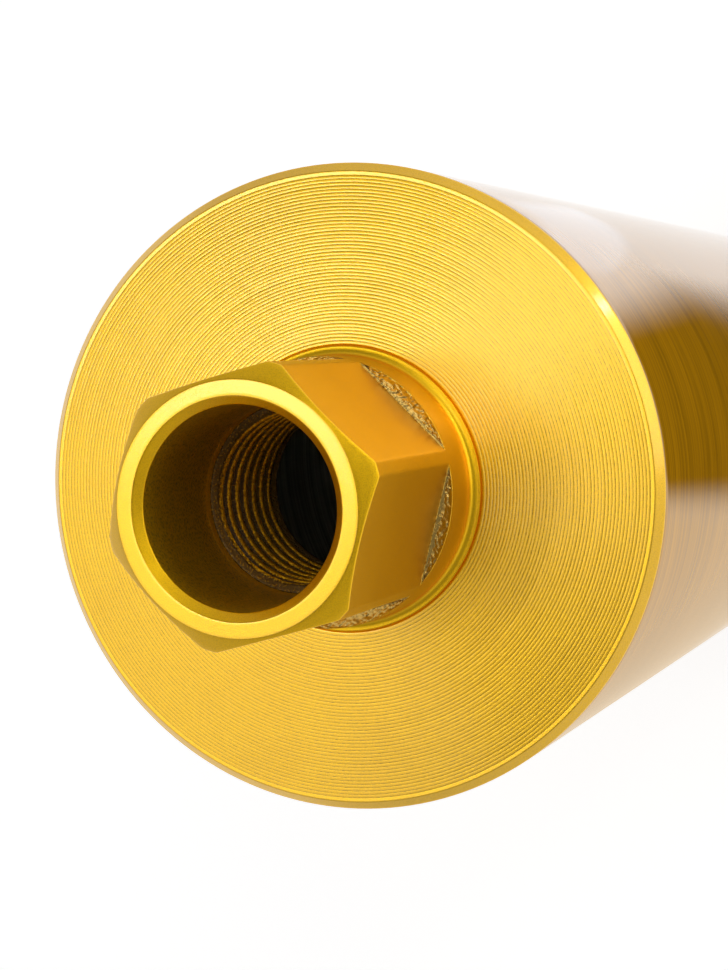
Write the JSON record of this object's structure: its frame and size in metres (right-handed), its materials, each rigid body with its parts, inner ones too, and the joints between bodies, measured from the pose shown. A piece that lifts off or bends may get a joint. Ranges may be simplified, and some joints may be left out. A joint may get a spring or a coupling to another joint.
{
  "type": "diamond core bit",
  "caption": "Wet diamond core bit: open steel barrel with welded diamond segments at the crown and a turned end cap with a threaded hexagonal hub.",
  "frame": {"origin": "centre of the crown, on the plane of the segments' cutting faces", "axes": "+Z along the bit's axis from the crown to the mouth of the threaded hub; a pair of the hexagon corners lies along X"},
  "size_m": [0.116, 0.1154, 0.505],
  "materials": {
    "gold_coating": "satin metallic gold coating over turned steel",
    "barrel_coating": "glossy metallic gold coating over a smooth steel tube",
    "diamond_matrix": "rough sintered metal with fine diamond grit"
  },
  "bodies": {
    "root": {"end_cap": "gold_coating", "barrel": "barrel_coating", "segment_01": "diamond_matrix", "segment_02": "diamond_matrix", "segment_03": "diamond_matrix", "segment_04": "diamond_matrix", "segment_05": "diamond_matrix", "segment_06": "diamond_matrix", "segment_07": "diamond_matrix", "segment_08": "diamond_matrix", "segment_09": "diamond_matrix", "segment_10": "diamond_matrix"}
  },
  "joints": []
}
